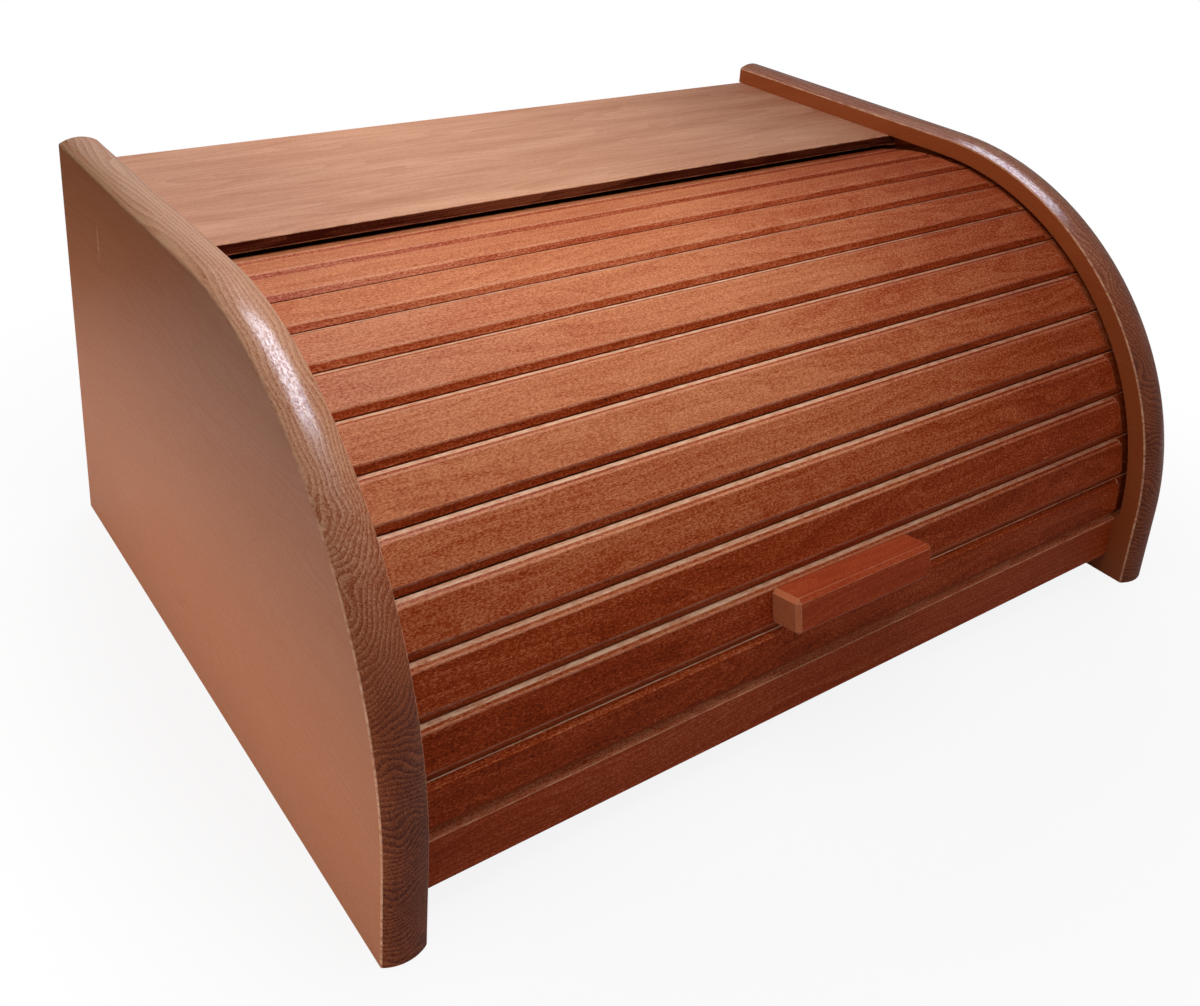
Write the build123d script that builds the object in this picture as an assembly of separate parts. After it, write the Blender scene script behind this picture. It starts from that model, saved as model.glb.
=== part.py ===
from build123d import *
import math
import os

# Roll-top bread box of stained beech, in millimetres.
# X runs across the front, the door faces -Y, +Z is up.
# The origin is the middle of the footprint, on the surface that the box stands on.

# Overall size
width = 400
depth = 300
height = 180

# Side panels: the front corner is a quarter round, and the edge is crowned
side_thickness = 16
bend_radius = 144
crown_rise = 2.4
rim_width = 8.2
track_depth = 8

# Tambour door: flat slats on a round track, glued to a cloth.
# The slats share the arc from the rail to the tail equally.
slat_count = 13
door_tail_angle = -20.1
slat_thickness = 7
slat_joint_gap = 0.3
slat_bevel_width = 2.4
slat_bevel_depth = 1.8
slat_end_bevel = 1.0
face_setback = 1.6
shoulder_gap = 1.0
tongue_thickness = 5.4
tongue_end_gap = 1.5
track_play = 0.4
track_end_height = 2.5
door_rest_gap = 0.2

# Cloth behind the slats
cloth_thickness = 0.6
cloth_side_gap = 6

# Handle on the second-lowest slat
handle_slat = slat_count - 1
handle_length = 72
handle_height = 14
handle_depth = 13.4
handle_chamfer = 1.6

# Handle screws, driven from inside
screw_spacing = 44
screw_shank_diameter = 3.5
screw_head_diameter = 7
screw_head_height = 2.2
screw_head_land = 0.3
screw_grip = 10
screw_tip = 2
screw_slot_length = 4.2
screw_slot_width = 0.9
screw_slot_depth = 0.9
screw_play = 0.1

# Deck, base and back are one thin board, housed in the side panels
board_thickness = 5
housing_depth = 5
housing_play = 0.1
deck_gap = 1.8
board_back_inset = 1
back_panel_inset = 2
base_lift = 11

# Front rail and its blind dowels
rail_height = 22
rail_thickness = 12
rail_bevel_depth = 4
rail_bevel_height = 2.7
dowel_diameter = 6
dowel_in_side = 10
dowel_in_rail = 18
dowel_play = 0.1
dowel_bottom_distance = 5.5
dowel_top_distance = 8

# How far a cut runs on past the surface that it opens on
cut_overrun = 1

# The bend's centre line, which is also the line that the door turns about
centre_y = -depth / 2 + bend_radius
centre_z = height - bend_radius
bend_axis = Axis((0, centre_y, centre_z), (1, 0, 0))

# Radii about the bend's centre
edge_radius = bend_radius - crown_rise
track_outer_radius = edge_radius - rim_width
face_radius = track_outer_radius - face_setback
back_radius = face_radius - slat_thickness
track_inner_radius = back_radius - track_play

# Places along X, on the right-hand side
outer_x = width / 2
inner_x = outer_x - side_thickness
track_x = inner_x + track_depth
shoulder_x = inner_x - shoulder_gap
tongue_x = track_x - tongue_end_gap
cloth_x = inner_x - cloth_side_gap

# Rail: its face is flush with the slats, its top is the door's stop
rail_top = base_lift + rail_height
rail_face_y = centre_y - face_radius
rail_back_y = rail_face_y + rail_thickness
dowel_y = (rail_face_y + rail_back_y) / 2
dowel_heights = (base_lift + dowel_bottom_distance, rail_top - dowel_top_distance)

# The door's arc, as angles from straight up, towards the front
door_low_drop = centre_z - rail_top - door_rest_gap
door_low_angle = 90 + math.degrees(math.asin(door_low_drop / back_radius))
slat_pitch_angle = (door_low_angle - door_tail_angle) / slat_count
half_pitch = math.radians(slat_pitch_angle / 2)

# Slat widths across the door
slat_width = 2 * back_radius * math.tan(half_pitch) - slat_joint_gap
face_width = slat_width - 2 * slat_bevel_width
slat_reach = math.hypot(face_radius, face_width / 2)

# Deck: its top is level with the crest of the track, its front edge clears the slats
back_y = depth / 2
deck_top = centre_z + track_outer_radius
deck_underside = deck_top - board_thickness
deck_rise = deck_underside - centre_z
deck_front_y = centre_y + math.sqrt((slat_reach + deck_gap) ** 2 - deck_rise ** 2)
board_back_y = back_y - board_back_inset
back_panel_y = back_y - back_panel_inset
base_top = base_lift + board_thickness

# The track's ends, as angles from straight up: at the rail's top and over the base board
track_front_drop = centre_z - rail_top
track_front_angle = 90 + math.degrees(math.asin(track_front_drop / track_inner_radius))
track_back_drop = centre_z - base_top - track_end_height
track_back_angle = -90 - math.degrees(math.asin(track_back_drop / track_outer_radius))


def block(x_range, y_range, z_range):
    """A box between two values along each axis."""
    low = Vector(x_range[0], y_range[0], z_range[0])
    high = Vector(x_range[1], y_range[1], z_range[1])
    size = high - low
    return Pos(*low) * Box(size.X, size.Y, size.Z, align=(Align.MIN, Align.MIN, Align.MIN))


def rod(start, direction, diameter, length):
    """A round bar from a point, along a direction."""
    plane = Plane(origin=start, z_dir=direction)
    shape = Cylinder(diameter / 2, length, align=(Align.CENTER, Align.CENTER, Align.MIN))
    return plane.location * shape


def save(name, shape):
    """Write one sub-part to its file."""
    export_step(shape, f"parts/{name}.step")


# Side panels

def side_blank():
    """The right-hand board up to its sharp edges, before the crown and the grooves."""
    edge_top = centre_z + edge_radius
    edge_front = centre_y - edge_radius
    corner = edge_radius * math.sqrt(0.5)
    outline = [
        Line((0, back_y, 0), (0, back_y, edge_top)),
        Line((0, back_y, edge_top), (0, centre_y, edge_top)),
        ThreePointArc(
            (0, centre_y, edge_top),
            (0, centre_y - corner, centre_z + corner),
            (0, edge_front, centre_z),
        ),
        Line((0, edge_front, centre_z), (0, edge_front, 0)),
        Line((0, edge_front, 0), (0, back_y, 0)),
    ]
    face = make_face(Curve() + outline)
    return Pos(inner_x, 0, 0) * extrude(face, side_thickness, dir=(1, 0, 0))


def crown_section():
    """The shallow arc that rises from the top edge, where the bend meets the flat top."""
    edge_top = centre_z + edge_radius
    left = (inner_x, centre_y, edge_top)
    right = (outer_x, centre_y, edge_top)
    peak = ((inner_x + outer_x) / 2, centre_y, edge_top + crown_rise)
    return make_face(Curve() + [ThreePointArc(left, peak, right), Line(right, left)])


def crown():
    """The crown along the flat top, round the bend and down the front."""
    section = crown_section()
    over_top = extrude(section, back_y - centre_y, dir=(0, 1, 0))
    round_bend = revolve(section, bend_axis, revolution_arc=90)
    down_front = extrude(section.rotate(bend_axis, 90), centre_z, dir=(0, 0, -1))
    return over_top + round_bend + down_front


def track():
    """The round groove that the slats' tongues run in."""
    open_x = inner_x - cut_overrun
    section = make_face(Polyline(
        (open_x, centre_y, centre_z + track_inner_radius),
        (track_x, centre_y, centre_z + track_inner_radius),
        (track_x, centre_y, centre_z + track_outer_radius),
        (open_x, centre_y, centre_z + track_outer_radius),
        close=True,
    ))
    start = section.rotate(bend_axis, track_back_angle)
    return revolve(start, bend_axis, revolution_arc=track_front_angle - track_back_angle)


def housings():
    """Straight grooves for the deck, the base and the back. The deck's runs on into the track."""
    across = (inner_x - cut_overrun, inner_x + housing_depth + housing_play)
    deck = block(
        across,
        (centre_y, back_y + cut_overrun),
        (deck_underside - housing_play, deck_top + housing_play),
    )
    base = block(
        across,
        (rail_back_y - housing_play, back_y + cut_overrun),
        (base_lift - housing_play, base_top + housing_play),
    )
    back = block(
        across,
        (back_panel_y - board_thickness - housing_play, back_panel_y + housing_play),
        (base_top, deck_underside),
    )
    return [deck, base, back]


def dowel_holes(start_x, length):
    """Blind holes for the dowels at the right-hand end of the rail."""
    diameter = dowel_diameter + 2 * dowel_play
    return [rod((start_x, dowel_y, z), (1, 0, 0), diameter, length) for z in dowel_heights]


def right_side_panel():
    panel = side_blank() + crown()
    hole_length = cut_overrun + dowel_in_side + dowel_play
    cuts = [track(), *housings(), *dowel_holes(inner_x - cut_overrun, hole_length)]
    for cut in cuts:
        panel = panel - cut
    return panel


# Boards and rail

def housed_board(y_range, z_range):
    """A thin board whose ends sit in the side panels' grooves."""
    half = inner_x + housing_depth
    return block((-half, half), y_range, z_range)


def front_rail():
    """The fixed board under the door, with its top front edge bevelled."""
    section = make_face(Polyline(
        (-inner_x, rail_face_y, base_lift),
        (-inner_x, rail_back_y, base_lift),
        (-inner_x, rail_back_y, rail_top),
        (-inner_x, rail_face_y + rail_bevel_depth, rail_top),
        (-inner_x, rail_face_y, rail_top - rail_bevel_height),
        close=True,
    ))
    rail = extrude(section, 2 * inner_x, dir=(1, 0, 0))
    hole_length = dowel_in_rail + dowel_play
    for hole in dowel_holes(inner_x - hole_length, hole_length + cut_overrun):
        rail = rail - hole - mirror(hole, Plane.YZ)
    return rail


def rail_dowels():
    """Four blind dowels, two at each end of the rail."""
    start = inner_x - dowel_in_rail
    length = dowel_in_rail + dowel_in_side
    right = [rod((start, dowel_y, z), (1, 0, 0), dowel_diameter, length) for z in dowel_heights]
    left = [mirror(dowel, Plane.YZ) for dowel in right]
    return Compound(children=[*right, *left])


# Door

def door_plane(angle, radius):
    """A plane on the door: Z points outwards, Y up the door, X across it."""
    turn = math.radians(angle)
    outwards = Vector(0, -math.sin(turn), math.cos(turn))
    origin = Vector(0, centre_y, centre_z) + outwards * radius
    return Plane(origin=origin, x_dir=(1, 0, 0), z_dir=outwards)


def slat_angle(number):
    """The angle of a slat's middle. Slat 1 is the tail, the last is the lowest."""
    return door_tail_angle + (number - 0.5) * slat_pitch_angle


def plain_slat():
    """A bevelled slat lying on its back, with a tongue at each end."""
    half = slat_width / 2
    bevel_start = slat_thickness - slat_bevel_depth
    across = make_face(Polyline(
        (-tongue_x, -half, 0),
        (-tongue_x, half, 0),
        (-tongue_x, half, bevel_start),
        (-tongue_x, half - slat_bevel_width, slat_thickness),
        (-tongue_x, -half + slat_bevel_width, slat_thickness),
        (-tongue_x, -half, bevel_start),
        close=True,
    ))
    bar = extrude(across, 2 * tongue_x, dir=(1, 0, 0))
    along = make_face(Polyline(
        (-tongue_x, -half, 0),
        (tongue_x, -half, 0),
        (tongue_x, -half, tongue_thickness),
        (shoulder_x, -half, tongue_thickness),
        (shoulder_x - slat_end_bevel, -half, slat_thickness),
        (-shoulder_x + slat_end_bevel, -half, slat_thickness),
        (-shoulder_x, -half, tongue_thickness),
        (-tongue_x, -half, tongue_thickness),
        close=True,
    ))
    return bar & extrude(along, slat_width, dir=(0, 1, 0))


def screw(play=0.0):
    """A countersunk screw that points up from its head at the origin, or its hole."""
    head_radius = screw_head_diameter / 2 + play
    shank_radius = screw_shank_diameter / 2 + play
    neck = screw_head_height
    end = cloth_thickness + slat_thickness + screw_grip + play
    section = make_face(Polyline(
        (0, 0, -play),
        (head_radius, 0, -play),
        (head_radius, 0, screw_head_land),
        (shank_radius, 0, neck),
        (shank_radius, 0, end - screw_tip),
        (0, 0, end),
        close=True,
    ))
    return revolve(section, Axis.Z)


def slotted_screw():
    """The screw with a cross slot in its head."""
    slots = [
        Box(screw_slot_length, screw_slot_width, 2 * screw_slot_depth),
        Box(screw_slot_width, screw_slot_length, 2 * screw_slot_depth),
    ]
    shape = screw()
    for slot in slots:
        shape = shape - slot
    return shape


def at_screws(shape):
    """Two copies of a shape, at the handle's screws."""
    plane = door_plane(slat_angle(handle_slat), back_radius - cloth_thickness)
    places = [Pos(side * screw_spacing / 2, 0, 0) for side in (-1, 1)]
    return [plane.location * place * shape for place in places]


def without_screws(shape):
    """The shape, drilled for the handle's screws."""
    for hole in at_screws(screw(screw_play)):
        shape = shape - hole
    return shape


def slat(number):
    shape = door_plane(slat_angle(number), back_radius).location * plain_slat()
    return without_screws(shape) if number == handle_slat else shape


def handle():
    """The bar that the door is pulled up by."""
    on_slat = (Align.CENTER, Align.CENTER, Align.MIN)
    bar = Box(handle_length, handle_height, handle_depth, align=on_slat)
    back = bar.faces().sort_by(Axis.Z)[0]
    bar = chamfer(bar.edges() - back.edges(), handle_chamfer)
    return without_screws(door_plane(slat_angle(handle_slat), face_radius).location * bar)


def cloth_corner(step, radius):
    """A corner of the cloth's section, between two slats."""
    turn = math.radians(door_tail_angle + step * slat_pitch_angle)
    reach = radius / math.cos(half_pitch)
    return (-cloth_x, centre_y - reach * math.sin(turn), centre_z + reach * math.cos(turn))


def cloth_end(angle, offset, radius):
    """A point at the end of the cloth, flush with the slat's edge."""
    place = door_plane(angle, radius).from_local_coords(Vector(-cloth_x, offset, 0))
    return (place.X, place.Y, place.Z)


def cloth_side(radius):
    """One side of the cloth's section, from the tail to the lowest slat."""
    corners = [cloth_corner(step, radius) for step in range(1, slat_count)]
    tail = cloth_end(slat_angle(1), slat_width / 2, radius)
    low = cloth_end(slat_angle(slat_count), -slat_width / 2, radius)
    return [tail, *corners, low]


def cloth_backing():
    """The cloth on the slats' flat backs."""
    outline = cloth_side(back_radius) + cloth_side(back_radius - cloth_thickness)[::-1]
    band = extrude(make_face(Polyline(*outline, close=True)), 2 * cloth_x, dir=(1, 0, 0))
    return without_screws(band)


os.makedirs("parts", exist_ok=True)

right_panel = right_side_panel()
save("right_side_panel", right_panel)
save("left_side_panel", mirror(right_panel, Plane.YZ))
save("top_deck", housed_board((deck_front_y, board_back_y), (deck_underside, deck_top)))
save("base_panel", housed_board((rail_back_y, board_back_y), (base_lift, base_top)))
save("back_panel", housed_board(
    (back_panel_y - board_thickness, back_panel_y),
    (base_top, deck_underside),
))
save("front_rail", front_rail())
save("rail_dowels", rail_dowels())
for number in range(1, slat_count + 1):
    save(f"slat_{number:02d}", slat(number))
save("cloth_backing", cloth_backing())
save("handle", handle())
save("handle_screws", Compound(children=at_screws(slotted_screw())))
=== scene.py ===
import math

import bmesh
import bpy
from mathutils import Euler, Matrix, Vector


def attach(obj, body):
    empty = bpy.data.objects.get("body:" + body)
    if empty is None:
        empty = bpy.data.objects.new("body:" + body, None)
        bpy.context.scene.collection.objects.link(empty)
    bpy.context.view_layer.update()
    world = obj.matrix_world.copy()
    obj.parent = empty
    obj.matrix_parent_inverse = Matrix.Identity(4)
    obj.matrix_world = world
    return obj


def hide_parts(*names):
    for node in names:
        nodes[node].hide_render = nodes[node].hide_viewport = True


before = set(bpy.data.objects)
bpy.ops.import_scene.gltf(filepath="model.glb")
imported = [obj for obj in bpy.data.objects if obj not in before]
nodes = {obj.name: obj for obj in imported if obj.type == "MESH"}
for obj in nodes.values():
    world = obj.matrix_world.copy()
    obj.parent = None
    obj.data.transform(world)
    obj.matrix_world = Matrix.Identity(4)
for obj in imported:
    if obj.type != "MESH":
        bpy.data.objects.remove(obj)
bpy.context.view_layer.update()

# Roll-top bread box of stained and lacquered beech. Sizes are in millimetres and angles in
# degrees, as in the CAD part.
MM = 0.001

# Side panels
outer_x = 200
inner_x = 184
back_y = 150
centre_y = -6
centre_z = 36
edge_radius = 141.6
crown_rise = 2.4
side_thickness = outer_x - inner_x
crown_levels = 12
bend_steps = 48

# Grooves in the side panels
track_depth = 8
track_inner_radius = 124.4
track_outer_radius = 133.4
track_front_angle = 91.38
track_back_angle = -97.54
track_steps = 96
housing_depth = 5.1
deck_z = (164.4, 169.4)
base_z = (11, 16)
back_panel_y = (143, 148)
rail_back_y = -125.8
housing_play = 0.1
cut_overrun = 1
dowel_hole_radius = 3.1
dowel_depth = 10.1
dowel_y = -131.8
dowel_heights = (16.5, 25)
hole_steps = 24

# Door
slat_count = 13
door_low_angle = 91.2856
door_tail_angle = -20.1
slat_pitch = (door_low_angle - door_tail_angle) / slat_count
half_pitch_radians = math.radians(slat_pitch / 2)
back_radius = 124.8
slat_thickness = 7
joint_gap = 0.3
slat_half = back_radius * math.tan(half_pitch_radians) - joint_gap / 2
bevel_width = 2.4
bevel_depth = 1.8
shoulder_x = 183
tongue_x = 190.5
tongue_thickness = 5.4
end_bevel = 1.0
lean_share = 0.65
shoulder_step = 0.05
looseness = 0.03
handle_slat = 12
cloth_x = 178
cloth_thickness = 0.5
glue_thickness = 0.02
screw_spacing = 44
screw_hole_radius = 3.6

# How far sanding has rounded the edges, in how many steps, and from what angle on
board_ease = 0.5
handle_ease = 1.0
slat_ease = 0.4
ease_steps = 3
eased_from_angle = 25

# Meshes: points this close are one, faces this flat are one, and shading breaks at this angle
merge_distance = 0.001
flat_angle = 1
sharp_angle = 40

# Marks on the slats' faces: above zero the wood shows pale, below zero dark. The pale marks are
# sanded wear, and along the upper bevel's foot also a painted highlight. The dark marks are
# painted shade. The lower bevels are marked again by their place on the door. Faces count as
# looking along an axis from this share of their normal on.
looks_that_way = 0.3
rubbed_end = 1.4
lit_and_rubbed_foot = 1.0
rubbed_turn = 0.2
shaded_bevel = -0.7
shaded_lower_bevel = -0.1


# Meshes

def piece_from(name, points, faces):
    """An object made from points in millimetres and their faces."""
    mesh = bpy.data.meshes.new(name)
    mesh.from_pydata([tuple(c * MM for c in p) for p in points], [], faces)
    mesh.update()
    obj = bpy.data.objects.new(name, mesh)
    bpy.context.scene.collection.objects.link(obj)
    return obj


def tidy_mesh(obj, flat=False):
    """Merge doubles, join the triangles of flat faces if asked, and turn every face outwards."""
    work = bmesh.new()
    work.from_mesh(obj.data)
    bmesh.ops.remove_doubles(work, verts=work.verts, dist=merge_distance * MM)
    if flat:
        bmesh.ops.dissolve_limit(
            work, angle_limit=math.radians(flat_angle), verts=work.verts, edges=work.edges
        )
    bmesh.ops.recalc_face_normals(work, faces=work.faces)
    work.to_mesh(obj.data)
    work.free()
    return obj


def skin(name, loops):
    """A closed shape drawn through loops of points, with a flat face at each end."""
    count = len(loops[0])
    faces = [
        (k * count + i, k * count + (i + 1) % count,
         (k + 1) * count + (i + 1) % count, (k + 1) * count + i)
        for k in range(len(loops) - 1) for i in range(count)
    ]
    last = (len(loops) - 1) * count
    faces += [tuple(range(count)), tuple(range(last, last + count))]
    return tidy_mesh(piece_from(name, [p for loop in loops for p in loop], faces))


def prism(name, outline, start_x, end_x):
    """An outline in Y and Z, drawn out along X."""
    return skin(name, [[(x, y, z) for y, z in outline] for x in (start_x, end_x)])


def arc(radius, start, end, steps):
    """Points in Y and Z round the bend's centre, at angles from straight up towards the front."""
    turns = [math.radians(start + (end - start) * i / steps) for i in range(steps + 1)]
    return [(centre_y - radius * math.sin(t), centre_z + radius * math.cos(t)) for t in turns]


def ease_edges(obj, width):
    """Round the edges a little, as sanding does. The rounded faces get the second material slot."""
    obj.data.materials.append(None)
    obj.data.materials.append(None)
    bevel = obj.modifiers.new("eased edges", "BEVEL")
    bevel.width = width * MM
    bevel.segments = ease_steps
    bevel.limit_method = "ANGLE"
    bevel.angle_limit = math.radians(eased_from_angle)
    bevel.material = 1


def cut_with(obj, cutters):
    """Cut shapes out of an object."""
    for cutter in cutters:
        cut = obj.modifiers.new("cut", "BOOLEAN")
        cut.operation = "DIFFERENCE"
        cut.solver = "EXACT"
        cut.object = cutter


def apply_modifiers(obj):
    """Make what the modifiers give the object's own plain mesh."""
    view = bpy.context.evaluated_depsgraph_get()
    mesh = bpy.data.meshes.new_from_object(
        obj.evaluated_get(view), preserve_all_data_layers=True, depsgraph=view
    )
    obj.modifiers.clear()
    obj.data = mesh


def settle(obj, material, spent=()):
    """Apply the modifiers, give the mesh its material, and remove the cutters that are spent.

    Rounded faces get a pale mark for sanded wear, unless the mesh already has its marks, which
    on the slats also paint light and shade.
    """
    weigh = obj.modifiers.new("even shading", "WEIGHTED_NORMAL")
    weigh.keep_sharp = True
    obj.data.polygons.foreach_set("use_smooth", [True] * len(obj.data.polygons))
    obj.data.set_sharp_from_angle(angle=math.radians(sharp_angle))
    apply_modifiers(obj)
    mesh = obj.data
    mesh.name = obj.name
    if "worn" not in mesh.attributes:
        worn = mesh.attributes.new("worn", "FLOAT", "FACE")
        worn.data.foreach_set("value", [float(face.material_index > 0) for face in mesh.polygons])
    mesh.polygons.foreach_set("material_index", [0] * len(mesh.polygons))
    mesh.materials.clear()
    mesh.materials.append(material)
    for other in spent:
        bpy.data.objects.remove(other)


# Colours and node trees

def linear(code):
    """A colour written as sRGB hex, in the linear values that the shaders take."""
    parts = [int(code[i:i + 2], 16) / 255 for i in (1, 3, 5)]
    low = 0.04045
    return (*[c / 12.92 if c <= low else ((c + 0.055) / 1.055) ** 2.4 for c in parts], 1)


def add(tree, kind, inputs=None, out=0, **settings):
    """Add a node with its settings and with its inputs set or linked, and return an output.

    Inputs go by name or by number. A Map Range reads its value at 0, and turns the range from 1
    to 2 into the one from 3 to 4. A Mix reads its share at 0, and numbers at 2 and 3, vectors at
    4 and 5, or colours at 6 and 7.
    """
    made = tree.nodes.new(kind)
    for name, value in settings.items():
        setattr(made, name, value)
    for socket, value in (inputs or {}).items():
        if isinstance(value, bpy.types.NodeSocket):
            tree.links.new(value, made.inputs[socket])
        else:
            made.inputs[socket].default_value = value
    return made.outputs[out] if len(made.outputs) else made


def new_material(name):
    """A material and its node tree, still empty."""
    material = bpy.data.materials.new(name)
    material.use_nodes = True
    material.node_tree.nodes.clear()
    return material, material.node_tree


# The range that holds nearly all of a noise's values, as a Map Range reads it
noise_range = {1: 0.3, 2: 0.7}

# Wood that is alike on every beech piece. Growth rings sway by up to this many years, a year is
# light for its early share, and the high power keeps the plainer figure to faces that look
# straight along X.
ring_sway = 9.0
early_wood = 0.2
broad_power = 8.0
pore_depth = 0.08
# Where between dark and light the middle tone lies, how much darker end grain and the painted
# shade of dark marks are, and what share of the painted light and the pale marks is left where
# they are least
middle_tone = 0.45
end_grain_dark = 0.12
painted_shade_depth = 0.3
least_light_and_wear = 0.4
# Satin lacquer, roughest where the rays have soaked it up. Its IOR is near 1.5, and 1.7 brings
# the highlights on the crowned edges near the photograph's.
satin_roughness = (0.4, 0.55)
lacquer_roughness = 0.2
lacquer_ior = 1.7


def beech(name, along, piths, joints=(), tones=("#4a1505", "#a03c16", "#dc966e"), level=0.45,
          worn="#dca582", ring_gap=2.4, ring_depth=0.1, ray_depth=0.42, cloud_depth=0.3,
          streak_depth=0.3, calm=0.0, painted_light_and_shade=(), light_and_wear_fall_x=(900, 1000), shine=0.06, lacquer=0.05,
          cut="", scuffs=()):
    """Beech that is stained or left plain, sanded, and sprayed with satin lacquer.

    Short dark rays lie along the grain and show as dots on end grain, growth rings are faint, and
    sanded edges show paler wood. Marks on some faces also paint light and shade. Hands have
    polished the faces that look up.

    along is the grain's axis. piths are the middles of the growth rings, in millimetres, from the
    lowest stave up, and joints the heights between staves. tones run from dark to light, and
    level is where between them the wood lies. calm is how much plainer the faces are that look
    along X. drank lists ways that faces look, each with how much darker such faces are painted
    as shade, or, below zero, how much lighter they are painted as light. The painted light and
    the pale marks grow less along X between the two places in spared. shine is the bare wood's
    specular level, and lacquer how much of the film is left where it is thickest. cut names the
    attribute that says where in the tree a piece was cut from. scuffs are places scuffed pale,
    and their sizes.
    """
    material, tree = new_material(name)
    axis = "XYZ".index(along)
    place = add(tree, "ShaderNodeTexCoord").node.outputs
    facing = add(tree, "ShaderNodeSeparateXYZ", {0: place["Normal"]}).node.outputs
    spot = place["Object"]
    if cut:
        origin = add(tree, "ShaderNodeAttribute", out="Vector", attribute_name=cut)
        spot = add(tree, "ShaderNodeVectorMath", {0: origin, 1: spot}, operation="ADD")

    # Noise drawn out along the grain: its length and breadth in millimetres, detail, roughness
    noise = {}
    for layer, (length, breadth, detail, rough) in {
        "rays": (1.1, 0.45, 3, 0.65),
        "streak": (45, 0.5, 3, 0.65),
        "cloud": (90, 14, 3, 0.5),
        "sway": (120, 16, 1, 0.4),
        "patches": (5, 1.4, 2, 0.6),
    }.items():
        scale = [1 / (length * MM) if i == axis else 1 / (breadth * MM) for i in range(3)]
        drawn = add(tree, "ShaderNodeMapping", {"Vector": spot, "Scale": scale})
        noise[layer] = add(tree, "ShaderNodeTexNoise", {
            "Vector": drawn, "Scale": 1.0, "Detail": detail, "Roughness": rough,
        })

    # Growth rings round the pith of the stave that the place is in, each darkest at its end
    height = add(tree, "ShaderNodeSeparateXYZ", {0: spot}, out="Z")
    pith = add(tree, "ShaderNodeCombineXYZ", dict(enumerate(c * MM for c in piths[0])))
    for joint, middle in zip(joints, piths[1:]):
        above = add(tree, "ShaderNodeMath", {0: height, 1: joint * MM}, operation="GREATER_THAN")
        pith = add(tree, "ShaderNodeMix", {0: above, 4: pith, 5: [c * MM for c in middle]}, out=1,
                   data_type="VECTOR")
    across = [float(i != axis) for i in range(3)]
    off = add(tree, "ShaderNodeVectorMath", {0: spot, 1: pith}, operation="SUBTRACT")
    off = add(tree, "ShaderNodeVectorMath", {0: off, 1: across}, operation="MULTIPLY")
    reach = add(tree, "ShaderNodeVectorMath", {0: off}, out="Value", operation="LENGTH")
    sway = add(tree, "ShaderNodeMath", {0: noise["sway"], 1: ring_sway}, operation="MULTIPLY")
    years = add(tree, "ShaderNodeMath", {0: reach, 1: 1 / (ring_gap * MM), 2: sway},
                operation="MULTIPLY_ADD")
    year = add(tree, "ShaderNodeMath", {0: years}, operation="FRACT")
    ring = add(tree, "ShaderNodeMapRange", {
        0: year, 1: early_wood, 2: 1.0, 3: 0.0, 4: -ring_depth,
    })

    # Streaks, clouds and rays, plainer on the broad faces, which look along X
    figure = ring
    for layer, depth in (("streak", streak_depth), ("cloud", cloud_depth)):
        middle = add(tree, "ShaderNodeMath", {0: noise[layer], 1: 0.5}, operation="SUBTRACT")
        figure = add(tree, "ShaderNodeMath", {0: middle, 1: depth, 2: figure},
                     operation="MULTIPLY_ADD")
    rays = add(tree, "ShaderNodeMapRange", {
        0: noise["rays"], **noise_range, 3: -ray_depth / 2, 4: ray_depth / 2,
    })
    figure = add(tree, "ShaderNodeMath", {0: rays, 1: figure}, operation="ADD")
    side_on = add(tree, "ShaderNodeMath", {0: facing["X"]}, operation="ABSOLUTE")
    broad = add(tree, "ShaderNodeMath", {0: side_on, 1: broad_power}, operation="POWER")
    lively = add(tree, "ShaderNodeMath", {0: broad, 1: -calm, 2: 1.0}, operation="MULTIPLY_ADD")
    tone = add(tree, "ShaderNodeMath", {0: figure, 1: lively, 2: level}, operation="MULTIPLY_ADD")

    # End grain drinks more stain. Faces that look some ways are painted darker as shade, and
    # others lighter as light.
    end_on = add(tree, "ShaderNodeMath", {0: facing[along], 1: 2.0}, operation="POWER")
    tone = add(tree, "ShaderNodeMath", {0: end_on, 1: -end_grain_dark, 2: tone},
               operation="MULTIPLY_ADD")
    # Painted light falls off along X, and the pale marks with it
    sideways = add(tree, "ShaderNodeSeparateXYZ", {0: place["Object"]}, out="X")
    light_and_wear_share = add(tree, "ShaderNodeMapRange", {
        0: sideways, 1: light_and_wear_fall_x[0] * MM, 2: light_and_wear_fall_x[1] * MM, 3: 1.0, 4: least_light_and_wear,
    })
    for way, sign, more in painted_light_and_shade:
        facing_share = add(tree, "ShaderNodeMapRange", {0: facing[way], 1: 0.2 * sign, 2: 0.8 * sign},
                      interpolation_type="SMOOTHSTEP")
        if more < 0:
            facing_share = add(tree, "ShaderNodeMath", {0: facing_share, 1: light_and_wear_share}, operation="MULTIPLY")
        tone = add(tree, "ShaderNodeMath", {0: facing_share, 1: -more, 2: tone},
                   operation="MULTIPLY_ADD")

    # Where a face's mark is below zero, it is painted darker as shade
    light_and_wear_mark = add(tree, "ShaderNodeAttribute", out="Fac", attribute_name="worn")
    painted_shade = add(tree, "ShaderNodeMath", {0: light_and_wear_mark, 1: 0.0}, operation="MINIMUM")
    tone = add(tree, "ShaderNodeMath", {0: painted_shade, 1: painted_shade_depth, 2: tone},
               operation="MULTIPLY_ADD")
    stain = add(tree, "ShaderNodeValToRGB", {0: tone})
    stops = stain.node.color_ramp.elements
    stops.new(middle_tone)
    for stop, at, code in zip(stops, (0.0, middle_tone, 1.0), tones):
        stop.position = at
        stop.color = linear(code)
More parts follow.
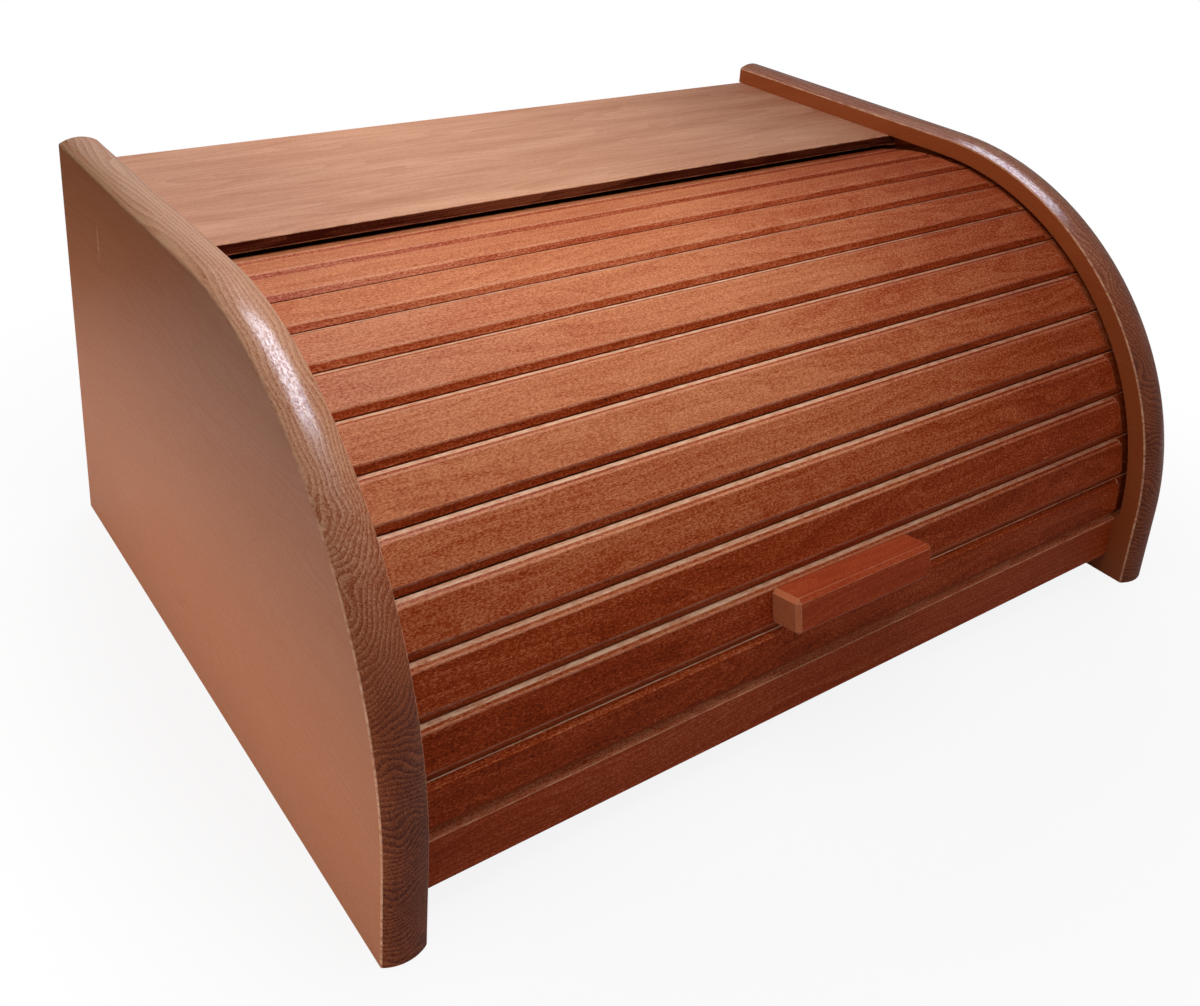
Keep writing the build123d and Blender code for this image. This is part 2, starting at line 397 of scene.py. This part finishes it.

    # Marks above zero show the paler wood in patches: sanded edges, and on the slats also a
    # painted highlight along each upper bevel's foot. Scuffs show it too, most in their middle.
    light_and_wear_mark = add(tree, "ShaderNodeMath", {0: light_and_wear_mark, 1: light_and_wear_share}, operation="MULTIPLY",
                 use_clamp=True)
    for middle, size in scuffs:
        off = add(tree, "ShaderNodeVectorMath", {0: spot, 1: [c * MM for c in middle]},
                  operation="SUBTRACT")
        off = add(tree, "ShaderNodeVectorMath", {0: off, 1: [c * MM for c in size]},
                  operation="DIVIDE")
        reach = add(tree, "ShaderNodeVectorMath", {0: off}, out="Value", operation="LENGTH")
        scuff = add(tree, "ShaderNodeMapRange", {0: reach, 1: 0.3, 2: 1.0, 3: 0.8, 4: 0.0})
        light_and_wear_mark = add(tree, "ShaderNodeMath", {0: light_and_wear_mark, 1: scuff}, operation="MAXIMUM")
    patches = add(tree, "ShaderNodeMapRange", {0: noise["patches"], **noise_range, 3: 0.2, 4: 1.0})
    pale_share = add(tree, "ShaderNodeMath", {0: light_and_wear_mark, 1: patches}, operation="MULTIPLY")
    colour = add(tree, "ShaderNodeMix", {0: pale_share, 6: stain, 7: linear(worn)}, out=2,
                 data_type="RGBA")

    # Open pores, and a film of lacquer that lies thicker in streaks and on faces that look up
    relief = add(tree, "ShaderNodeMath", {0: noise["rays"], 1: noise["streak"]}, operation="ADD")
    pores = add(tree, "ShaderNodeBump", {
        "Height": relief, "Distance": pore_depth * MM, "Strength": 0.3,
    })
    satin = add(tree, "ShaderNodeMapRange", {
        0: noise["rays"], **noise_range, 3: satin_roughness[1], 4: satin_roughness[0],
    })
    polished = add(tree, "ShaderNodeMapRange", {
        0: facing["Z"], 1: 0.0, 2: 0.8, 3: 0.2 * lacquer, 4: lacquer,
    })
    streaky = add(tree, "ShaderNodeMapRange", {0: noise["streak"], 1: 0.4, 2: 0.58, 3: 0.3})
    film = add(tree, "ShaderNodeMath", {0: polished, 1: streaky}, operation="MULTIPLY")
    surface = add(tree, "ShaderNodeBsdfPrincipled", {
        "Base Color": colour, "Normal": pores, "Roughness": satin, "Specular IOR Level": shine,
        "Coat Weight": film, "Coat Roughness": lacquer_roughness, "Coat IOR": lacquer_ior,
        "Coat Normal": pores,
    })
    add(tree, "ShaderNodeOutputMaterial", {"Surface": surface})
    return material


# Each side panel is glued up from three staves, and shows their end grain on its front edge
side_beech = {
    side: beech(
        f"stained beech side {name}", "Y",
        [(side * 215, 0, 190), (side * 242, 0, 160), (side * 250, 0, 172)], (82.4, 167),
        tones=("#4a1505", "#9a4c26", "#d8a27c"), level=0.5, ring_gap=1.9, ring_depth=0.25,
        ray_depth=0.3, streak_depth=1.0, calm=0.88,
        # Inner and front faces are painted darker as shade, and the outer face and the top lighter
        # as light, the left panel's top the most
        painted_light_and_shade=(("X", -side, 0.05), ("X", side, -0.1), ("Y", -1, 0.09),
               ("Z", 1, -0.27 + 0.14 * side)),
        shine=0.12, lacquer=1.0, scuffs=scuffs,
    )
    for side, name, scuffs in (
        (-1, "left", (((-200, 101, 150), (2, 1.5, 10)), ((-196, 21, 181.5), (5, 0.7, 2)))),
        (1, "right", ()),
    )
}
# The slats' faces that look up are painted lighter as light, less towards their right ends, and
# their pale marks are partly a painted highlight
slat_beech = beech("stained beech slats", "X", [(0, -10, 20)], cut="cut", light_and_wear_fall_x=(0, 140),
                   level=0.39, ray_depth=0.6, worn="#f4caaa",
                   tones=("#4a1505", "#a03c16", "#dc8f63"), painted_light_and_shade=(("Z", 1, -0.43),),
                   shine=0.04, lacquer=0.03)
# The deck's top is painted lighter as light, less towards the right end, and its front edge darker
# as shade
deck_beech = beech("stained beech deck", "X", [(0, 30, 140)], ring_gap=5, ray_depth=0.15,
                   cloud_depth=0.5, streak_depth=0.5, level=0.15,
                   tones=("#3f1208", "#a55f3f", "#dca687"), light_and_wear_fall_x=(80, 380),
                   painted_light_and_shade=(("Z", 1, -0.7), ("Y", -1, 0.08)))
# The base and back boards, with no painted light or shade
board_beech = beech("stained beech boards", "X", [(0, 60, 250)], ring_gap=5, ray_depth=0.35,
                    streak_depth=0.2, level=0.42, tones=("#4a1505", "#a0512c", "#d39a76"))
# The rail's top is painted lighter as light
rail_beech = beech("stained beech rail", "X", [(0, -110, -30)], painted_light_and_shade=(("Z", 1, -0.2),))
# The handle's left end is painted lighter as light
handle_beech = beech("stained beech handle", "X", [(0, -120, 30)], level=0.5,
                     tones=("#4f180a", "#a63f1c", "#c8744c"), painted_light_and_shade=(("X", -1, -0.6),))
# Plain beech, turned to pegs
peg_beech = beech("plain beech dowel", "X", [(0, -150, -20)], ray_depth=0.5, shine=0.3,
                  tones=("#a9794b", "#d0a677", "#e2c79d"), lacquer=0.0)


def zinc_plated_steel():
    """Steel wire, headed and then zinc plated.

    Its skin is finely crystalline, about 0.4 mm from grain to grain, with a faint bluish and
    yellowish cast.
    """
    material, tree = new_material("zinc plated steel")
    place = add(tree, "ShaderNodeTexCoord", out="Object")
    skin_noise = add(tree, "ShaderNodeTexNoise", {
        "Vector": place, "Scale": 1 / (0.4 * MM), "Detail": 3.0,
    })
    cast = add(tree, "ShaderNodeTexNoise", {"Vector": place, "Scale": 1 / (3 * MM), "Detail": 2.0})
    tint = add(tree, "ShaderNodeMix", {0: cast, 6: linear("#a9afb8"), 7: linear("#c6c0ac")}, out=2,
               data_type="RGBA")
    dull = add(tree, "ShaderNodeMapRange", {0: skin_noise, **noise_range, 3: 0.25, 4: 0.45})
    dents = add(tree, "ShaderNodeBump", {
        "Height": skin_noise, "Distance": 0.02 * MM, "Strength": 0.4,
    })
    add(tree, "ShaderNodeOutputMaterial", {
        "Surface": add(tree, "ShaderNodeBsdfPrincipled", {
            "Base Color": tint, "Metallic": 1.0, "Roughness": dull, "Normal": dents,
        }),
    })
    return material


def woven_cotton():
    """Cotton canvas in a plain weave, browned by the glue that holds it to the slats.

    The threads are drawn 0.9 mm apart, twice as far as they are, so that they show.
    """
    thread_gap = 0.9
    material, tree = new_material("woven cotton backing")
    place = add(tree, "ShaderNodeTexCoord", out="Object")
    round_bend = add(tree, "ShaderNodeVectorMath", {
        0: place, 1: (0, centre_y * MM, centre_z * MM),
    }, operation="SUBTRACT")
    part = add(tree, "ShaderNodeSeparateXYZ", {0: round_bend}).node.outputs
    turn = add(tree, "ShaderNodeMath", {0: part["Y"], 1: part["Z"]}, operation="ARCTAN2")

    # Warp and weft ride over each other by turns, in squares like a chequerboard
    ridges = []
    for along, per_turn in ((part["X"], 1.0), (turn, back_radius * MM)):
        count = add(tree, "ShaderNodeMath", {0: along, 1: math.pi * per_turn / (thread_gap * MM)},
                    operation="MULTIPLY")
        ridges.append(add(tree, "ShaderNodeMath", {0: count}, operation="SINE"))
    over = add(tree, "ShaderNodeMath", {0: ridges[0], 1: ridges[1]}, operation="MULTIPLY")
    over = add(tree, "ShaderNodeMath", {0: over, 1: 0.0}, operation="GREATER_THAN")
    warp, weft = [add(tree, "ShaderNodeMath", {0: ridge}, operation="ABSOLUTE")
                  for ridge in ridges]
    weave = add(tree, "ShaderNodeMix", {0: over, 2: warp, 3: weft}, data_type="FLOAT")

    fuzz = add(tree, "ShaderNodeTexNoise", {
        "Vector": place, "Scale": 1 / (0.5 * MM), "Detail": 3.0,
    })
    glue = add(tree, "ShaderNodeTexNoise", {"Vector": place, "Scale": 1 / (25 * MM), "Detail": 3.0})
    glue = add(tree, "ShaderNodeMapRange", {0: glue, 1: 0.35, 2: 0.75, 4: 0.5})
    clean = add(tree, "ShaderNodeMix", {0: fuzz, 6: linear("#6b5440"), 7: linear("#937a60")}, out=2,
                data_type="RGBA")
    soaked = add(tree, "ShaderNodeMix", {0: glue, 6: clean, 7: linear("#4a3524")}, out=2,
                 data_type="RGBA")
    # The hollows between the threads are painted darker as shade
    painted_weave_shade = add(tree, "ShaderNodeMapRange", {0: weave, 3: 0.65, 4: 0.0})
    thread = add(tree, "ShaderNodeMix", {0: painted_weave_shade, 6: soaked, 7: linear("#2e2118")}, out=2,
                 data_type="RGBA")
    ribs = add(tree, "ShaderNodeBump", {"Height": weave, "Distance": 0.15 * MM, "Strength": 0.7})
    add(tree, "ShaderNodeOutputMaterial", {
        "Surface": add(tree, "ShaderNodeBsdfPrincipled", {
            "Base Color": thread, "Roughness": 0.9, "Specular IOR Level": 0.2, "Normal": ribs,
        }),
    })
    return material


# Side panels

def crown_height(x):
    """How far the crowned edge rises at a place across the panel's thickness."""
    half = side_thickness / 2
    radius = (half ** 2 + crown_rise ** 2) / (2 * crown_rise)
    off = x - (inner_x + half)
    return math.sqrt(radius ** 2 - off ** 2) - (radius - crown_rise)


def panel_outline(rise):
    """The panel's outline in Y and Z, with the crowned edges raised."""
    reach = edge_radius + rise
    bend = arc(reach, 0, 90, bend_steps)
    return [(back_y, 0), (back_y, centre_z + reach), *bend, (centre_y - reach, 0)]


def side_panel(side, name):
    """A board with a quarter-round front, a crowned edge, and grooves on its inner face."""
    levels = [inner_x + side_thickness * i / crown_levels for i in range(crown_levels + 1)]
    panel = skin(name, [
        [(side * x, y, z) for y, z in panel_outline(crown_height(x))] for x in levels
    ])
    ease_edges(panel, board_ease)

    def groove(outline, deep):
        return prism("groove", outline, side * (inner_x - cut_overrun), side * (inner_x + deep))

    def box_outline(y_range, z_range):
        (y0, y1), (z0, z1) = y_range, z_range
        return [(y0, z0), (y1, z0), (y1, z1), (y0, z1)]

    play = housing_play
    through_y = back_y + cut_overrun
    ring = (arc(track_outer_radius, track_back_angle, track_front_angle, track_steps)
            + arc(track_inner_radius, track_front_angle, track_back_angle, track_steps))
    cuts = [
        groove(ring, track_depth),
        groove(box_outline((centre_y, through_y), (deck_z[0] - play, deck_z[1] + play)),
               housing_depth),
        groove(box_outline((rail_back_y - play, through_y), (base_z[0] - play, base_z[1] + play)),
               housing_depth),
        groove(box_outline((back_panel_y[0] - play, back_panel_y[1] + play),
                           (base_z[1], deck_z[0])), housing_depth),
    ]
    for z in dowel_heights:
        turns = [math.tau * i / hole_steps for i in range(hole_steps)]
        hole = [(dowel_y + dowel_hole_radius * math.cos(t), z + dowel_hole_radius * math.sin(t))
                for t in turns]
        cuts.append(groove(hole, dowel_depth))
    cut_with(panel, cuts)
    settle(panel, side_beech[side], cuts)
    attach(panel, "case")
    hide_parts(f"{name.split('_')[0]}_side_panel")


side_panel(-1, "left_side")
side_panel(1, "right_side")


# Boards, rail and handle

def eased_board(node, name, material, body="case", width=board_ease):
    """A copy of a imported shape, with its edges eased."""
    board = nodes[node].copy()
    board.data = nodes[node].data.copy()
    board.name = name
    board.data.name = name
    for key in list(board.keys()):
        del board[key]
    board.parent = None
    bpy.context.scene.collection.objects.link(board)
    board.data.materials.clear()
    tidy_mesh(board, flat=True)
    ease_edges(board, width)
    settle(board, material)
    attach(board, body)
    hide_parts(node)


eased_board("top_deck", "deck_board", deck_beech)
eased_board("base_panel", "base_board", board_beech)
eased_board("back_panel", "back_board", board_beech)
eased_board("front_rail", "rail_board", rail_beech)
eased_board("handle", "handle_bar", handle_beech, body="door", width=handle_ease)


# Slats

def plan_outline(half_x, half_y, upper_radius, lower_radius):
    """A rectangle with rounded corners, seen from above the slat."""
    corners = [(1, 1, upper_radius), (-1, 1, upper_radius), (-1, -1, lower_radius),
               (1, -1, lower_radius)]
    steps = 5
    points = []
    for number, (sx, sy, radius) in enumerate(corners):
        for i in range(steps + 1):
            turn = math.radians(90 * (number + i / steps))
            points.append((
                sx * (half_x - radius) + radius * math.cos(turn),
                sy * (half_y - radius) + radius * math.sin(turn),
            ))
    return points


def eased(start, edge, end, t):
    """A value on a smooth turn from one face to the next, past their edge."""
    return (1 - t) ** 2 * start + 2 * t * (1 - t) * edge + t * t * end


def slat_blank():
    """One slat on its back: a bar with a tongue at each end, and a bevelled face on it.

    Its long sides lean outwards, so that neighbours on the bend stay close all the way up.
    """
    foot = slat_thickness - bevel_depth
    lean = lean_share * math.tan(half_pitch_radians)
    half_foot = slat_half + foot * lean
    slope = (half_foot - slat_half + bevel_width) / bevel_depth
    tongue_half = half_foot - (tongue_thickness - foot) * slope
    face_half = tongue_half - shoulder_step
    rise = slat_thickness - tongue_thickness
    halfway = (rise - slat_ease) / 2

    # Height, half length, half width, and the radii of the upper and lower corners. The upper
    # corners are rounded most, and less towards the face.
    tongue_corner = 0.3
    levels = [
        (0, tongue_x, slat_half, tongue_corner, tongue_corner),
        (foot, tongue_x, half_foot, tongue_corner, tongue_corner),
        (tongue_thickness, tongue_x, tongue_half, tongue_corner, tongue_corner),
        (tongue_thickness, shoulder_x, face_half, 5.0, 0.6),
        (tongue_thickness + halfway, shoulder_x - end_bevel * halfway / rise,
         face_half - halfway * slope, 4.2, 0.5),
    ]
    turn_steps = 4
    for i in range(turn_steps + 1):
        t = i / turn_steps
        z = eased(slat_thickness - slat_ease, slat_thickness, slat_thickness, t)
        long_in = eased(bevel_width - slat_ease * slope, bevel_width, bevel_width + slat_ease, t)
        end_in = eased(end_bevel * (1 - slat_ease / rise), end_bevel, end_bevel + slat_ease, t)
        levels.append((z, shoulder_x - end_in, slat_half - long_in, 3.4 - 0.4 * t, 0.5))
    slat = skin("slat blank", [
        [(x, y, z) for x, y in plan_outline(half_x, half_y, upper, lower)]
        for z, half_x, half_y, upper, lower in levels
    ])

    # The ends, and a little the edges of the face, are marked pale where sanding has bared the
    # wood. The upper bevel's foot is marked pale as sanded wear and as a painted highlight, and the
    # rest of the upper bevel and the lower bevel are marked dark as painted shade. The heights that
    # tell these faces apart have a little margin, and only the slat's back and face have over four
    # corners.
    worn = slat.data.attributes.new("worn", "FLOAT", "FACE")
    foot_starts = 0.999 * foot * MM
    shoulder_starts = 0.999 * tongue_thickness * MM
    foot_ends = (tongue_thickness + 1.05 * halfway) * MM
    turn_starts = (slat_thickness - 1.2 * slat_ease) * MM
    for face, mark in zip(slat.data.polygons, worn.data):
        heights = [slat.data.vertices[i].co.z for i in face.vertices]
        if min(heights) < foot_starts or len(heights) > 4:
            mark.value = 0.0
        elif abs(face.normal.x) > looks_that_way and min(heights) > shoulder_starts:
            mark.value = rubbed_end
        elif min(heights) > turn_starts:
            mark.value = rubbed_turn
        elif face.normal.y > looks_that_way:
            mark.value = lit_and_rubbed_foot if max(heights) < foot_ends else shaded_bevel
        elif face.normal.y < -looks_that_way:
            mark.value = shaded_lower_bevel
    return slat


def door_tree():
    """The tree that lays the slats side by side on the door's arc, each of them a little loose."""
    tree = bpy.data.node_groups.new("slats on an arc", "GeometryNodeTree")
    tree.is_modifier = True
    sockets = {}
    for label, kind in (
        ("Slat", "NodeSocketObject"), ("Slats", "NodeSocketInt"), ("Pitch", "NodeSocketFloat"),
        ("Tail angle", "NodeSocketFloat"), ("Radius", "NodeSocketFloat"),
        ("Centre", "NodeSocketVector"), ("Looseness", "NodeSocketFloat"), ("Seed", "NodeSocketInt"),
        ("Finish", "NodeSocketMaterial"),
    ):
        item = tree.interface.new_socket(label, in_out="INPUT", socket_type=kind)
        sockets[label] = item.identifier
    tree.interface.new_socket("Geometry", in_out="OUTPUT", socket_type="NodeSocketGeometry")
    given = add(tree, "NodeGroupInput").node.outputs
    index = add(tree, "GeometryNodeInputIndex")
    middle = add(tree, "ShaderNodeMath", {0: index, 1: 0.5}, operation="ADD")
    angle = add(tree, "ShaderNodeMath", {0: middle, 1: given["Pitch"], 2: given["Tail angle"]},
                operation="MULTIPLY_ADD")
    sine = add(tree, "ShaderNodeMath", {0: angle}, operation="SINE")
    forward = add(tree, "ShaderNodeMath", {0: sine, 1: -1.0}, operation="MULTIPLY")
    upward = add(tree, "ShaderNodeMath", {0: angle}, operation="COSINE")
    outwards = add(tree, "ShaderNodeCombineXYZ", {"Y": forward, "Z": upward})
    loose = add(tree, "FunctionNodeRandomValue", {
        "Min": (-1.0, -1.0, -1.0), "Max": (1.0, 1.0, 1.0), "ID": index, "Seed": given["Seed"],
    }, data_type="FLOAT_VECTOR")
    play = add(tree, "ShaderNodeVectorMath", {0: loose, "Scale": given["Looseness"]},
               operation="SCALE")
    lift = add(tree, "ShaderNodeSeparateXYZ", {0: play}, out="Z")
    radius = add(tree, "ShaderNodeMath", {0: given["Radius"], 1: lift}, operation="ADD")
    reach = add(tree, "ShaderNodeVectorMath", {0: outwards, "Scale": radius}, operation="SCALE")
    spot = add(tree, "ShaderNodeVectorMath", {0: reach, 1: given["Centre"]}, operation="ADD")
    points = add(tree, "GeometryNodePoints", {"Count": given["Slats"], "Position": spot})
    turn = add(tree, "ShaderNodeCombineXYZ", {"X": angle})
    slat = add(tree, "GeometryNodeObjectInfo", {"Object": given["Slat"]}, out="Geometry")
    placed = add(tree, "GeometryNodeInstanceOnPoints", {
        "Points": points, "Instance": slat, "Rotation": turn,
    })

    # Where in the tree each slat was cut from, in metres, so that no two have the same figure
    cut_from = add(tree, "FunctionNodeRandomValue", {
        "Min": (-0.9, -0.02, -0.02), "Max": (0.9, 0.02, 0.02), "ID": index, "Seed": given["Seed"],
    }, data_type="FLOAT_VECTOR")
    marked = add(tree, "GeometryNodeStoreNamedAttribute", {
        "Geometry": placed, "Name": "cut", "Value": cut_from,
    }, data_type="FLOAT_VECTOR", domain="INSTANCE")
    real = add(tree, "GeometryNodeRealizeInstances", {"Geometry": marked})
    finished = add(tree, "GeometryNodeSetMaterial", {
        "Geometry": real, "Material": given["Finish"],
    })
    add(tree, "NodeGroupOutput", {"Geometry": finished})
    return tree, sockets


def door_slats():
    """All the door's slats in one mesh."""
    blank = slat_blank()
    tree, sockets = door_tree()
    door = piece_from("door_slats", [], [])
    maker = door.modifiers.new("slats", "NODES")
    maker.node_group = tree
    for label, value in {
        "Slat": blank, "Slats": slat_count, "Pitch": math.radians(slat_pitch),
        "Tail angle": math.radians(door_tail_angle), "Radius": back_radius * MM,
        "Centre": (0.0, centre_y * MM, centre_z * MM), "Looseness": looseness * MM, "Seed": 4,
        "Finish": slat_beech,
    }.items():
        maker[sockets[label]] = value
    apply_modifiers(door)
    bpy.data.objects.remove(blank)
    return door


def shade_by_place(door):
    """Mark the painted shade that differs from slat to slat.

    The lowest slat's edges get painted shade in place of their pale marks. The upper slats' lower
    bevels get painted shade too, more the higher the slat lies.
    """
    lowest_slat_z = centre_z + back_radius * math.cos(math.radians(door_low_angle - slat_pitch))
    shade_starts_z = 125
    shade_grows_z = 40
    for face, mark in zip(door.data.polygons, door.data.attributes["worn"].data):
        if face.center.z < lowest_slat_z * MM and abs(face.normal.x) < looks_that_way:
            mark.value = -abs(mark.value)
        elif math.isclose(mark.value, shaded_lower_bevel, abs_tol=0.01):
            flat = (face.center.z / MM - shade_starts_z) / shade_grows_z
            mark.value = shaded_bevel * min(max(flat, 0), 1)


def door_place(angle, radius):
    """A place on the door at an angle: Z points outwards and Y up the door."""
    turn = math.radians(angle)
    spot = Vector((0, centre_y - radius * math.sin(turn), centre_z + radius * math.cos(turn)))
    return Matrix.Translation(spot) @ Matrix.Rotation(turn, 4, "X")


def screw_hole(side):
    """A round cutter where one of the handle's screws goes through the slat and the cloth."""
    place = door_place(door_tail_angle + (handle_slat - 0.5) * slat_pitch, back_radius)
    middle_x = side * screw_spacing / 2
    turns = [math.tau * i / hole_steps for i in range(hole_steps)]
    return skin("screw hole", [
        [place @ Vector((middle_x + screw_hole_radius * math.cos(t),
                         screw_hole_radius * math.sin(t), z)) for t in turns]
        for z in (-3 * cut_overrun, slat_thickness + cut_overrun)
    ])


slats = door_slats()
holes = [screw_hole(side) for side in (-1, 1)]
shade_by_place(slats)
cut_with(slats, holes)
settle(slats, slat_beech)
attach(slats, "door")
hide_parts(*[f"slat_{number:02d}" for number in range(1, slat_count + 1)])


# Cloth behind the slats

def cloth_line(radius):
    """The cloth's line in Y and Z: flat on each slat, with a fold at each joint."""
    reach = radius / math.cos(half_pitch_radians)
    return arc(reach, door_tail_angle, door_low_angle, slat_count)


outer = cloth_line(back_radius - glue_thickness)
inner = cloth_line(back_radius - glue_thickness - cloth_thickness)
cloth = prism("door_cloth", outer + inner[::-1], -cloth_x, cloth_x)
cut_with(cloth, holes)
settle(cloth, woven_cotton(), holes)
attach(cloth, "door")
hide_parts("cloth_backing")

# Dowels and screws, as they come from model.glb
for node, material in (("rail_dowels", peg_beech), ("handle_screws", zinc_plated_steel())):
    nodes[node].data.materials.clear()
    nodes[node].data.materials.append(material)


# Floor, light and camera

# How much of the white surroundings the lacquer mirrors, and how bright the room itself is
mirrored_white = 0.1
room_strength = 0.17
# The floor clears between these distances from the box's middle, in metres, from this share of
# plain white to all of it
floor_clears = (0.22, 0.42)
floor_white = (0.88, 1.0)
floor_half = 4000


def pale_floor():
    """A pale floor that keeps the box's shadow near it, and clears to white further out."""
    material, tree = new_material("pale floor")
    path = add(tree, "ShaderNodeLightPath").node.outputs
    mirrored = add(tree, "ShaderNodeMath", {
        0: path["Is Glossy Ray"], 1: path["Is Transmission Ray"],
    }, operation="ADD")
    place = add(tree, "ShaderNodeTexCoord", out="Object")
    away = add(tree, "ShaderNodeVectorMath", {0: place}, out="Value", operation="LENGTH")
    clear = add(tree, "ShaderNodeMapRange", {
        0: away, 1: floor_clears[0], 2: floor_clears[1], 3: floor_white[0], 4: floor_white[1],
    })
    shown = add(tree, "ShaderNodeMath", {0: mirrored, 1: mirrored_white}, operation="MULTIPLY")
    shown = add(tree, "ShaderNodeMath", {0: path["Is Camera Ray"], 1: clear, 2: shown},
                operation="MULTIPLY_ADD")
    paint = add(tree, "ShaderNodeMix", {
        0: path["Is Camera Ray"], 6: linear("#c8c8c6"), 7: linear("#f6f6f5"),
    }, out=2, data_type="RGBA")
    matte = add(tree, "ShaderNodeBsdfDiffuse", {"Color": paint})
    white = add(tree, "ShaderNodeEmission", {"Color": (1, 1, 1, 1), "Strength": 1.0})
    both = add(tree, "ShaderNodeMixShader", {0: shown, 1: matte, 2: white})
    add(tree, "ShaderNodeOutputMaterial", {"Surface": both})
    return material


floor = piece_from("floor", [(-floor_half, -floor_half, 0), (floor_half, -floor_half, 0),
                             (floor_half, floor_half, 0), (-floor_half, floor_half, 0)],
                   [(0, 1, 2, 3)])
floor.data.materials.append(pale_floor())

# A dark card behind the box on the left, out of the picture, that the lacquer mirrors
card_y = 390
card = piece_from("dark card", [(-1200, card_y, 1), (-190, card_y, 1),
                                (-190, card_y, 600), (-1200, card_y, 600)], [(0, 1, 2, 3)])
black, tree = new_material("dark card")
add(tree, "ShaderNodeOutputMaterial", {
    "Surface": add(tree, "ShaderNodeBsdfDiffuse", {"Color": linear("#2a2422")}),
})
card.data.materials.append(black)
card.visible_camera = False

# A dim white room that the camera sees as white
world = bpy.data.worlds.new("studio")
bpy.context.scene.world = world
world.use_nodes = True
tree = world.node_tree
tree.nodes.clear()
path = add(tree, "ShaderNodeLightPath").node.outputs
mirrored = add(tree, "ShaderNodeMath", {
    0: path["Is Glossy Ray"], 1: path["Is Transmission Ray"],
}, operation="ADD")
room = add(tree, "ShaderNodeMath", {0: mirrored, 1: mirrored_white, 2: room_strength},
           operation="MULTIPLY_ADD")
room = add(tree, "ShaderNodeMath", {0: path["Is Camera Ray"], 1: 1 - room_strength, 2: room},
           operation="MULTIPLY_ADD")
add(tree, "ShaderNodeOutputWorld", {
    "Surface": add(tree, "ShaderNodeBackground", {"Color": (1, 1, 1, 1), "Strength": room}),
})


def area_lamp(name, spot, target, size, watts, glint=False, colour="#ffffff"):
    """A soft lamp at one place that looks at another, in metres.

    A glint lamp shows in the lacquer alone, and the others light the wood alone.
    """
    lamp = bpy.data.lights.new(name, "AREA")
    lamp.color = linear(colour)[:3]
    lamp.shape = "RECTANGLE"
    lamp.size, lamp.size_y = size
    lamp.energy = watts
    obj = bpy.data.objects.new(name, lamp)
    obj.visible_glossy = glint
    obj.visible_diffuse = not glint
    obj.location = spot
    obj.rotation_euler = (Vector(spot) - Vector(target)).to_track_quat("Z", "Y").to_euler()
    obj.visible_camera = False
    bpy.context.scene.collection.objects.link(obj)


# A cool lamp high above draws the long highlights on the crowned edges, as a window would
area_lamp("ceiling lamp", (0.37, 0.32, 2.0), (0.37, 0.17, 0.17), (1.1, 1.5), 50, glint=True,
          colour="#e2ebff")
# The others light the upper slats, the left and the right outer face, the front, and the deck
area_lamp("softbox", (-0.08, -0.115, 0.46), (-0.08, -0.115, 0), (0.2, 0.36), 0.93)
area_lamp("low side softbox", (-0.33, 0.04, 0.04), (-0.2, 0.04, 0.04), (0.55, 0.08), 0.345)
area_lamp("right side softbox", (0.45, 0.02, 0.06), (0.2, 0.02, 0.06), (0.55, 0.12), 0.5)
area_lamp("front softbox", (0.2, -0.9, 0.3), (0, 0, 0.1), (0.4, 0.4), 0.7)
area_lamp("rear softbox", (-0.05, 0.32, 0.32), (-0.07, 0.12, 0.17), (0.3, 0.1), 0.56)

# The camera that the photograph was taken with: its place, turn and lens
lens = bpy.data.cameras.new("camera")
lens.sensor_width = 36
lens.lens = 39.29
lens.shift_x = -0.0039
lens.shift_y = -0.2025
lens.clip_start = 0.01
lens.clip_end = 50
camera = bpy.data.objects.new("camera", lens)
camera.location = (-0.33463, -0.40889, 0.35104)
camera.rotation_euler = Euler([math.radians(a) for a in (68.354, -3.869, -35.967)], "XYZ")
bpy.context.scene.collection.objects.link(camera)
bpy.context.scene.camera = camera
bpy.context.scene.view_settings.view_transform = "Standard"
